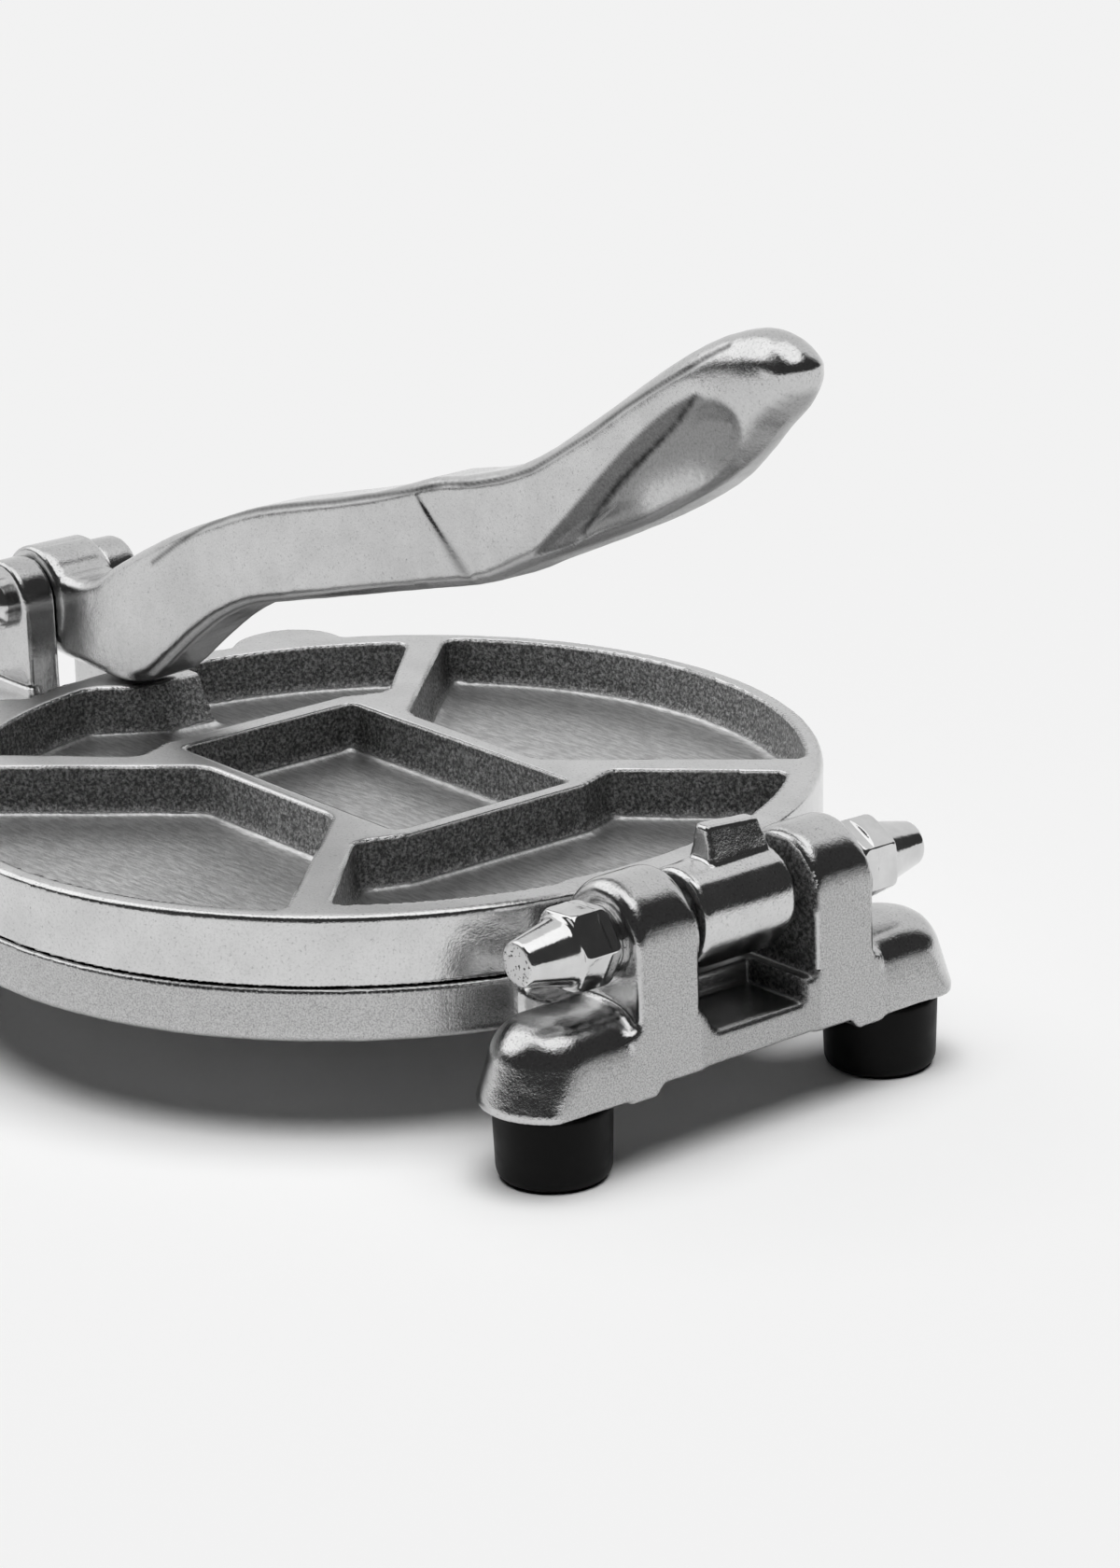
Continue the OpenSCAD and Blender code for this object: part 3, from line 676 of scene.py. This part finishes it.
def lever_maps():
    """Side maps of the depth inside the outline, the hollow, the crease, the seam and the step."""
    outline = lever_outline()
    low = outline.min(0) - 3
    high = outline.max(0) + 3

    def depth(x, z):
        """Minus the depth inside the outline, without the ridge that it has along its middle."""
        away, within = path_distance(outline, x, z)
        exact = np.where(within, -away, away)
        soft = blurred(blurred(exact, 15), 15)
        return exact + (soft - exact) * smooth_step((-exact - 2) / 5)

    def crease(x, z):
        return path_distance(lift(CREASE), x, z, closed=False)[0]

    def hollow(x, z):
        """A plain slope above the crease and a dish below it."""
        border = rounded(lift(np.concatenate([HOLLOW_TOP, HOLLOW_FOOT])))
        edge, within = path_distance(border, x, z)
        dish = DISH_DEPTH * smooth_step(edge / 7)
        dish = edge + (dish - edge) * smooth_step(crease(x, z) / 3)
        return np.where(within, np.where(lower_facet(x, z), dish, edge), 0)

    def seam(x, z):
        return path_distance(lift(SEAM), x, z, closed=False)[0]

    def step(x, z):
        return -right_of_chord(STEP, x, z)

    works = {"depth": depth, "hollow": hollow, "crease": crease, "seam": seam, "step": step}
    maps = {name: SideMap(low, high, MAP_STEP, work) for name, work in works.items()}
    return maps, low, high


def step_reach(z):
    """Width of the step's slope, which opens out downwards."""
    return 1.2 + 2.4 * smooth_step((LID_TOP + 67 - z) / 14)


def lever_shape(maps):
    tip_x = maps["depth"].x[-1] - 3

    def half_width(x, z):
        step = smooth_step(-maps["step"](x, z) / step_reach(z) + 0.5)
        step = 0.45 * step * smooth_step((x - 28) / 6) + 0.55 * smooth_step((x - 34) / 30)
        width = ARM_HALF + (GRIP_HALF - ARM_HALF) * step
        groove = FACET_SLOPE * (np.hypot(maps["hollow"](x, z), LIP) - LIP)
        return width - groove - SEAM_DEPTH * np.exp(-(maps["seam"](x, z) / SEAM_WIDTH) ** 2)

    def hub_shape(x, y, z):
        away = np.hypot(x - PIVOT_X, z - PIVOT_Z)
        crown = 0.1 * (away / HUB_R) ** 2
        return meet(away - HUB_R, np.abs(y) - HUB_HALF + crown, 1.2)

    def shape(x, y, z):
        grip = smooth_step((x - tip_x + GRIP_FROM) / GRIP_OVER)
        bulb = smooth_step((x - tip_x + TIP_FROM) / TIP_OVER)
        drop = ROUND_DOWN[0] + ROUND_DOWN[1] * grip + ROUND_DOWN[2] * bulb
        side = ROUND_IN[0] + ROUND_IN[1] * grip + ROUND_IN[2] * bulb
        into = np.maximum(maps["depth"](x, z) + drop, 0) / drop
        out = np.maximum(np.abs(y) - half_width(x, z) + side, 0) / side
        arm = (np.sqrt(into ** 2 + out ** 2) - 1) * np.minimum(drop, side)
        solid = join(np.maximum(arm, PIVOT_X + 3 - x), hub_shape(x, y, z), 1.5)
        return cut(solid, ring(x - PIVOT_X, z - PIVOT_Z, PIN_BORE_R), BORE_EDGE)

    return shape


def painted_glint(points):
    """How much of the painted highlight each point of the hollow has, with a ragged border."""
    u = points[:, 0] - PAINTED_GLINT_AT[0]
    v = points[:, 2] - LID_TOP - PAINTED_GLINT_AT[1]
    along = (u * PAINTED_GLINT_WAY[0] + v * PAINTED_GLINT_WAY[1]) / PAINTED_GLINT_SIZE[0]
    across = (v * PAINTED_GLINT_WAY[0] - u * PAINTED_GLINT_WAY[1]) / PAINTED_GLINT_SIZE[1]
    patch = np.exp(-along ** 4 - across ** 2 + 0.7 * waves(points, 0.9, 9))
    return np.clip(1.25 * patch, 0, 1)


def make_lever():
    maps, low, high = lever_maps()
    points, faces, out = surface(lever_shape(maps), (low[0], -GRIP_HALF - 1, low[1]),
                                 (high[0], GRIP_HALF + 1, high[1]), LEVER_CELL)
    x, y, z = points.T
    flat = np.abs(out[:, 1])
    on_side = smooth_step((flat - 0.3) / 0.3)
    # Satin finish with painted shade: the hollow, less a painted highlight low in it, and the
    # down-facing underside
    hollow = smooth_step(maps["hollow"](x, z) / 0.8) * on_side
    # Painted shade: the upper facet stays darker than the lower one
    hollow *= np.where(lower_facet(x, z), 0.80, 1.0)
    hollow *= 1 - 0.95 * painted_glint(points)
    # Painted shade on the down-facing underside, which also gets the satin finish
    underside = smooth_step((-out[:, 2] - 0.30) / 0.25) * (x > PIVOT_X + 20)
    hollow = np.maximum(hollow, 0.62 * underside)
    # The dark lines: the seam, and painted shade along the ragged crease and the step
    seam = np.exp(-(maps["seam"](x, z) / 0.5) ** 2) * smooth_step((flat - 0.2) / 0.3)
    ragged = maps["crease"](x, z) + 0.35 * waves(points, 1.3, 8)
    crease = np.exp(-(ragged / 0.6) ** 2) * (hollow > 0.1)
    step = np.exp(-(maps["step"](x, z) / (0.5 * step_reach(z))) ** 2) * on_side
    step *= smooth_step((x - 29) / 2) * smooth_step((50 - x) / 2) * 0.5
    lines = np.maximum(np.maximum(seam, crease), step)
    bump = 0.07 * waves(points, 8, 6) + 0.03 * waves(points, 2.6, 7)
    hub = np.hypot(x - PIVOT_X, z - PIVOT_Z) < HUB_R + 1
    points = points + out * (bump * ~hub)[:, None]
    # The seam mark holds the seam and the painted shade along the crease and the step
    return add_piece("lever", points, faces, "lever", "lever_metal", ["lever_casting"],
                     {"seam": lines, "finger_hollow": hollow, "ground_side": flat ** 8})


# ---- rod ends and feet ----

NUT_CELL = 0.3
NUT_REACH = 9
NUT_LENGTH = 21.5
NUT_FLATS = 16.0
# How far the near and the far nut's flats are turned, in degrees
NUT_TURN = {-1: 33.7, 1: 2.0}
HEX_MIDDLE = 6.0
HEX_HALF = 4.5
HEX_CORNER_R = 8.7
SEAT_R = 7.2
SEAT_LENGTH = 2.2
CONE_FROM = 10.0
CONE_R = 7.3
CONE_TAPER = 0.225

FOOT_CELL = 0.6
FOOT_REACH = 13
FOOT_R = 11.8
FOOT_FLARE = 0.5
# The well in a foot's underside, and the rubber left above it
WELL_R = 5.5
WELL_ROOF = 4.0


def cone_nut_shape(side):
    """A blind nut on a hinge post: seat, hexagon and cone, along Y."""
    def shape(x, y, z):
        u, v, along = x - HINGE_X, z - HINGE_Z, side * y - POST_OUT
        away = np.hypot(u, v)
        seat = np.maximum(away - SEAT_R, along - SEAT_LENGTH)
        flats = np.full(np.broadcast(u, v).shape, -1e9)
        for turn in (0, 60, 120):
            a = math.radians(turn + NUT_TURN[side])
            flats = np.maximum(flats, np.abs(u * math.cos(a) + v * math.sin(a)) - NUT_FLATS / 2)
        past = np.abs(along - HEX_MIDDLE) - HEX_HALF
        hexagon = meet(flats, past, 0.5)
        hexagon = meet(hexagon, away - HEX_CORNER_R + 0.45 * past, 0.4)
        taper = CONE_R - (along - CONE_FROM) * CONE_TAPER
        cone = meet(away - taper, along - NUT_LENGTH, 0.9)
        cone = np.maximum(cone, 5 - along)
        return np.maximum(join(join(hexagon, cone, 1.2), seat, 0.5), -along)
    return shape


def make_cone_nuts():
    for name, side in (("near_nut", -1), ("far_nut", 1)):
        ends = sorted((side * POST_OUT, side * (POST_OUT + NUT_LENGTH)))
        points, faces, out = surface(cone_nut_shape(side),
                                     (HINGE_X - NUT_REACH, ends[0], HINGE_Z - NUT_REACH),
                                     (HINGE_X + NUT_REACH, ends[1], HINGE_Z + NUT_REACH),
                                     NUT_CELL)
        end = smooth_step((side * out[:, 1] - 0.8) / 0.15)
        end *= side * points[:, 1] > POST_OUT + NUT_LENGTH - 1
        cad = name.replace("nut", "cone_nut")
        add_piece(name, points, faces, "base", "nut_metal", [cad], {"cut_end": end})


def foot_shape(foot_x, foot_y):
    """A rubber foot that flares a little upwards, with a well in its underside."""
    def shape(x, y, z):
        away = np.hypot(x - foot_x, y - foot_y)
        body = away - FOOT_R - FOOT_FLARE * z / WING_BOTTOM
        body = meet(body, -z, 3.0)
        body = meet(body, z - WING_BOTTOM, 0.6)
        well = meet(away - WELL_R, z - WING_BOTTOM + WELL_ROOF, 1.0)
        return cut(body, well, 1.2)
    return shape


def make_feet():
    for end, foot_x in (("hinge", HINGE_FACE - FOOT_INSET), ("lever", FOOT_INSET - LEVER_FACE)):
        for hand, foot_y in (("near", -FOOT_Y), ("far", FOOT_Y)):
            points, faces, out = surface(foot_shape(foot_x, foot_y),
                                         (foot_x - FOOT_REACH, foot_y - FOOT_REACH, 0),
                                         (foot_x + FOOT_REACH, foot_y + FOOT_REACH, WING_BOTTOM),
                                         FOOT_CELL)
            add_piece(f"foot_{end}_{hand}", points, faces, "base", "foot_rubber",
                      [f"{end}_{hand}_foot"])


# ---- materials ----

class NodeTree:
    """A short way to write a node tree: values that are sockets are linked, others are set."""

    def __init__(self, holder):
        holder.use_nodes = True
        self.tree = holder.node_tree
        self.tree.nodes.clear()

    def add(self, kind, out=0, settings=None, **inputs):
        """A node's output. An input n0 or n1 goes by number, and any other by name."""
        node = self.tree.nodes.new("ShaderNode" + kind)
        for key, value in (settings or {}).items():
            setattr(node, key, value)
        for key, value in inputs.items():
            by_number = key[0] == "n" and key[1:].isdigit()
            socket = node.inputs[int(key[1:]) if by_number else key.replace("_", " ")]
            if isinstance(value, bpy.types.NodeSocket):
                self.tree.links.new(value, socket)
            else:
                socket.default_value = value
        return node.outputs[out]

    def math(self, operation, a, b=0.0):
        return self.add("Math", settings={"operation": operation}, n0=a, n1=b)

    def between(self, value, low, high, to_low=0.0, to_high=1.0):
        """Maps value from low..high to the new range, smoothly and without going past it."""
        return self.add("MapRange", settings={"interpolation_type": "SMOOTHSTEP"}, Value=value,
                        From_Min=low, From_Max=high, To_Min=to_low, To_Max=to_high)

    def mix(self, share, a, b):
        """a where share is 0, b where it is 1, for plain numbers."""
        return self.add("Mix", Factor=share, A=a, B=b)

    def darker(self, value, share):
        """The value less that share of itself."""
        return self.math("MULTIPLY", value, self.math("SUBTRACT", 1.0, share))

    def noise(self, size, detail=3.0, rough=0.55, stretch=(1, 1, 1)):
        """Noise with features of about that size in millimetres, fixed to the object."""
        place = self.add("TexCoord", out="Object")
        if stretch != (1, 1, 1):
            place = self.add("Mapping", Vector=place, Scale=stretch)
        return self.add("TexNoise", Vector=place, Scale=1 / (size * MM), Detail=detail,
                        Roughness=rough)

    def mark(self, name):
        return self.add("Attribute", out="Fac", settings={"attribute_name": name})

    def bump(self, height, depth, before=None):
        """Bump of that depth in millimetres over an earlier one."""
        inputs = {"Height": height, "Distance": depth * MM, "Strength": 1.0}
        if before is not None:
            inputs["Normal"] = before
        return self.add("Bump", **inputs)

    def grey(self, value):
        return self.add("CombineColor", Red=value, Green=value, Blue=value)

    def finish(self, kind, **inputs):
        self.add_output(self.add(kind, **inputs))

    def add_output(self, shader, kind="Material"):
        out = self.tree.nodes.new("ShaderNodeOutput" + kind)
        self.tree.links.new(shader, out.inputs["Surface"])


# Roughness of the finishes that the marks call up
GLOSS = {"ground": 0.30, "side": 0.22, "hollow": 0.30, "floor": 0.34, "rough_cast": 0.30,
         "cut_end": 0.38}
# How much of the colour a dark line (the seam, and painted shade along the lever's crease and
# step), a pit in a casting and a pit in a cut end take away
LINE_DARK = 0.82
PIT_DARK = 0.30
END_PIT_DARK = 0.85


def cast_aluminium(name, tone, roughness, grit, wall_tones):
    """Polished casting, with its rough pockets, ground faces and seams where the marks say. Painted
    shade darkens the pocket walls, the lever's hollow and underside, and its crease and step lines.
    """
    material = bpy.data.materials.new(name)
    t = NodeTree(material)
    rough_cast = t.mark("rough_cast")
    floor = t.mark("pocket_floor")
    face = t.mark("ground_face")
    ground = t.math("MAXIMUM", t.mark("ground_top"), face)
    side = t.mark("ground_side")
    # Satin finish with painted shade: the lever's hollow and its underside
    hollow = t.mark("finger_hollow")
    # The seam, with painted shade along the lever's crease and step
    seam = t.mark("seam")

    cloud = t.noise(14, 4.0, 0.6)
    peel = t.noise(1.5, 3.0, 0.5)
    grain = t.noise(0.55, 4.0, 0.65)
    speck = t.noise(0.35, 4.0, 0.65)
    fine = t.noise(0.16, 2.0, 0.6)
    sand = t.noise(0.8, 6.0, 0.75)
    brushed = t.noise(0.5, 3.0, 0.6, stretch=(1, 1, 0.07))
    streaks = t.noise(0.7, 3.0, 0.6, stretch=(0.16, 0.7, 1))
    pits = t.between(t.noise(0.6, 3.0, 0.6), 0.61, 0.68)
    patchy = t.between(cloud, 0.3, 0.7)

    pale = t.mix(patchy, tone - 0.05, tone + 0.03)
    pale = t.math("MULTIPLY", pale, t.between(grain, 0.25, 0.55, 0.84, 1.0))
    # The as-cast walls' colour: partly their own grey and partly painted shade
    dark = t.between(sand, 0.40, 0.68, wall_tones[0], wall_tones[1])
    satin = t.between(streaks, 0.34, 0.66, 0.50, 0.72)
    gritty = t.between(speck, 0.36, 0.60, 0.32, 0.57)
    # The colour of the painted shade in the lever's hollow and on its underside
    painted_hollow_shade = t.between(grain, 0.30, 0.70, 0.15, 0.23)
    colour = t.mix(hollow, t.mix(face, pale, gritty), painted_hollow_shade)
    colour = t.mix(rough_cast, t.mix(floor, colour, satin), dark)
    # Pits and the seam, and painted shade along the crease and the step, darken the colour
    pits_seam_and_painted_shade = t.math("MAXIMUM", t.math("MULTIPLY", pits, PIT_DARK),
                  t.math("MULTIPLY", seam, LINE_DARK))
    colour = t.darker(colour, pits_seam_and_painted_shade)

    gloss = t.mix(patchy, roughness - 0.03, roughness + 0.05)
    for share, finish in ((ground, "ground"), (side, "side"), (hollow, "hollow"),
                          (floor, "floor"), (rough_cast, "rough_cast")):
        gloss = t.mix(share, gloss, GLOSS[finish])

    uneven = t.mix(rough_cast, t.mix(floor, t.mix(face, grit, 0.36), 0.30), 0.6)
    normal = t.bump(cloud, 0.08)
    normal = t.bump(t.math("MULTIPLY", peel, t.mix(rough_cast, 0.40, 1.0)), 0.09, normal)
    normal = t.bump(t.math("MULTIPLY", grain, uneven), 0.22, normal)
    normal = t.bump(t.math("MULTIPLY", sand, rough_cast), 0.40, normal)
    normal = t.bump(t.math("MULTIPLY", streaks, floor), 0.10, normal)
    normal = t.bump(t.math("MULTIPLY", brushed, ground), 0.05, normal)
    normal = t.bump(fine, 0.006, normal)
    t.finish("BsdfPrincipled", Base_Color=t.grey(colour), Metallic=1.0, Roughness=gloss,
             Normal=normal)
    return material


def turned_metal(name, tone, roughness):
    """Bright nuts and pins: fine turning marks, a few dents, and pits on cut ends."""
    material = bpy.data.materials.new(name)
    t = NodeTree(material)
    cut_end = t.mark("cut_end")
    patchy = t.between(t.noise(6, 3.0, 0.6), 0.3, 0.7)
    peel = t.noise(1.1, 3.0, 0.5)
    turned = t.noise(0.35, 2.0, 0.5, stretch=(0.1, 1, 0.1))
    pits = t.math("MULTIPLY", t.between(t.noise(0.75, 2.0, 0.5), 0.60, 0.66), cut_end)
    colour = t.mix(patchy, tone - 0.05, tone + 0.03)
    colour = t.darker(colour, t.math("MULTIPLY", pits, END_PIT_DARK))
    gloss = t.mix(patchy, roughness - 0.03, roughness + 0.05)
    gloss = t.mix(cut_end, gloss, GLOSS["cut_end"])
    normal = t.bump(peel, 0.025)
    normal = t.bump(turned, 0.006, normal)
    normal = t.bump(t.math("SUBTRACT", 1.0, pits), 0.10, normal)
    t.finish("BsdfPrincipled", Base_Color=t.grey(colour), Metallic=1.0, Roughness=gloss,
             Normal=normal)
    return material


def black_rubber(name):
    material = bpy.data.materials.new(name)
    t = NodeTree(material)
    bloom = t.noise(7, 4.0, 0.65)
    grain = t.noise(0.25, 3.0, 0.6)
    bloomed = t.between(bloom, 0.35, 0.7)
    normal = t.bump(grain, 0.012)
    normal = t.bump(bloom, 0.05, normal)
    t.finish("BsdfPrincipled", Base_Color=t.grey(t.mix(bloomed, 0.002, 0.005)),
             Roughness=t.mix(bloomed, 0.42, 0.55), Normal=normal, Specular_IOR_Level=0.12)
    return material


def guess_slot(name):
    """The slot of a CAD node that stays."""
    for word, slot in (("screw", "screw_steel"), ("washer", "screw_steel"),
                       ("rod", "rod_steel"), ("pin", "pin_steel")):
        if word in name:
            return slot
    return None


def finish_pieces():
    """Gives every piece, and every CAD node that stays, the material of its slot."""
    finishes = {
        "base_metal": cast_aluminium("cast_base", 0.60, 0.09, 0.22, (0.05, 0.36)),
        "lid_metal": cast_aluminium("cast_lid", 0.66, 0.10, 0.20, (0.16, 0.86)),
        "lever_metal": cast_aluminium("cast_lever", 0.62, 0.10, 0.20, (0.12, 0.66)),
        "nut_metal": turned_metal("polished_nut", 0.68, 0.10),
        "pin_steel": turned_metal("polished_pin", 0.66, 0.14),
        "rod_steel": turned_metal("turned_rod", 0.42, 0.25),
        "screw_steel": turned_metal("plated_screw", 0.50, 0.30),
        "foot_rubber": black_rubber("black_rubber"),
    }
    node_slots = {s["node"]: s.get("slot") for s in frame["record"].get("subparts", [])}
    for piece in bpy.data.objects:
        if piece.type != "MESH":
            continue
        slot = piece.get("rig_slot") or node_slots.get(piece.name) or guess_slot(piece.name)
        if slot in finishes:
            piece.data.materials.clear()
            piece.data.materials.append(finishes[slot])


# ---- stage ----

PALE = 0.887
FLOOR_HALF = 20.0
# How far from the middle the floor, as it is seen, goes over to its plain colour, in metres
FLOOR_FADE = (0.24, 0.60)

# The overhead light's azimuth and elevation and the half angle that it fills, in degrees, and
# how far to both sides of that angle's cosine its edge fades
KEY = (-17, 84)
KEY_SPREAD = 27
KEY_FADE = 0.014
# The light at the left and the backdrop behind: azimuth and elevation, how much the backdrop's
# axis is raised, and the dot products with the axis at which each starts and is full
LEFT = (-148, 42)
LEFT_EDGE = (0.88, 0.90)
BACKDROP = (150, 0)
BACKDROP_RISE = 0.6
BACKDROP_EDGE = (0.52, 0.64)
# How bright each looks in the metal, and the dark of the room
LIGHT_LEVEL = 1.35
BACKDROP_LEVEL = 0.80
ROOM_LEVEL = 0.045


def make_floor():
    mesh = bpy.data.meshes.new("floor")
    r = FLOOR_HALF
    mesh.from_pydata([(-r, -r, 0), (r, -r, 0), (r, r, 0), (-r, r, 0)], [], [(0, 1, 2, 3)])
    floor = bpy.data.objects.new("floor", mesh)
    bpy.context.scene.collection.objects.link(floor)
    material = bpy.data.materials.new("pale_floor")
    mesh.materials.append(material)
    t = NodeTree(material)
    pale = (PALE, PALE, PALE, 1)
    lit = t.add("BsdfDiffuse", Color=pale)
    shown = t.add("Emission", Color=pale)
    seen = t.math("MAXIMUM", t.add("LightPath", out="Is Camera Ray"),
                  t.add("LightPath", out="Is Glossy Ray"))
    seen = t.math("MAXIMUM", seen, t.add("LightPath", out="Is Transmission Ray"))
    away = t.add("VectorMath", out="Value", settings={"operation": "LENGTH"},
                 n0=t.add("NewGeometry", out="Position"))
    far = t.between(away, *FLOOR_FADE)
    t.add_output(t.add("MixShader", n0=t.math("MULTIPLY", seen, far), n1=lit, n2=shown))


def direction(azimuth, elevation):
    a, e = math.radians(azimuth), math.radians(elevation)
    return Vector((math.cos(e) * math.cos(a), math.cos(e) * math.sin(a), math.sin(e)))


def make_key_light():
    """The overhead light as matt surfaces see it: the floor comes out as bright as its colour."""
    lamp = bpy.data.lights.new("overhead", "SUN")
    lamp.angle = 2 * math.radians(KEY_SPREAD)
    lamp.energy = math.pi / math.sin(math.radians(KEY[1]))
    light = bpy.data.objects.new("overhead", lamp)
    bpy.context.scene.collection.objects.link(light)
    light.rotation_euler = direction(*KEY).to_track_quat("Z", "Y").to_euler()
    light.visible_glossy = False


def make_world():
    """What the metal reflects: a pale backdrop behind, the overhead light and one at the left."""
    world = bpy.data.worlds.new("studio")
    bpy.context.scene.world = world
    t = NodeTree(world)
    way = t.add("TexCoord", out="Generated")

    def towards(axis, start, full):
        """1 where a direction points along the axis, and 0 where it points well away from it."""
        nearness = t.add("VectorMath", out="Value", settings={"operation": "DOT_PRODUCT"},
                         n0=way, n1=tuple(axis))
        return t.between(nearness, start, full)

    raised = direction(*BACKDROP) + Vector((0, 0, BACKDROP_RISE))
    edge = math.cos(math.radians(KEY_SPREAD))
    light = t.mix(towards(raised, *BACKDROP_EDGE), ROOM_LEVEL, BACKDROP_LEVEL)
    light = t.mix(towards(direction(*KEY), edge - KEY_FADE, edge + KEY_FADE), light, LIGHT_LEVEL)
    light = t.mix(towards(direction(*LEFT), *LEFT_EDGE), light, LIGHT_LEVEL)
    t.add_output(t.add("Background", Color=t.grey(light)), kind="World")
    world.cycles_visibility.diffuse = False


# The camera's place in metres, its lens in millimetres, and the ways that are right, up and back
CAMERA_AT = Vector((0.79287, -0.58425, 0.37159))
CAMERA_LENS = 107.62
CAMERA_RIGHT = Vector((0.6304335, 0.77570203, -0.02898231))
CAMERA_UP = Vector((-0.22732288, 0.22019348, 0.94859851))
CAMERA_BACK = Vector((0.7422115, -0.59143994, 0.31515216))


def make_camera():
    camera = bpy.data.objects.new("camera", bpy.data.cameras.new("camera"))
    bpy.context.scene.collection.objects.link(camera)
    turn = Matrix((CAMERA_RIGHT, CAMERA_UP, CAMERA_BACK)).transposed()
    camera.matrix_world = Matrix.Translation(CAMERA_AT) @ turn.to_4x4()
    camera.data.sensor_width = 36
    camera.data.lens = CAMERA_LENS
    bpy.context.scene.camera = camera


make_base()
make_lid()
make_lever()
make_cone_nuts()
make_feet()
finish_pieces()
make_floor()
make_key_light()
make_world()
make_camera()
bpy.context.scene.view_settings.view_transform = "Standard"
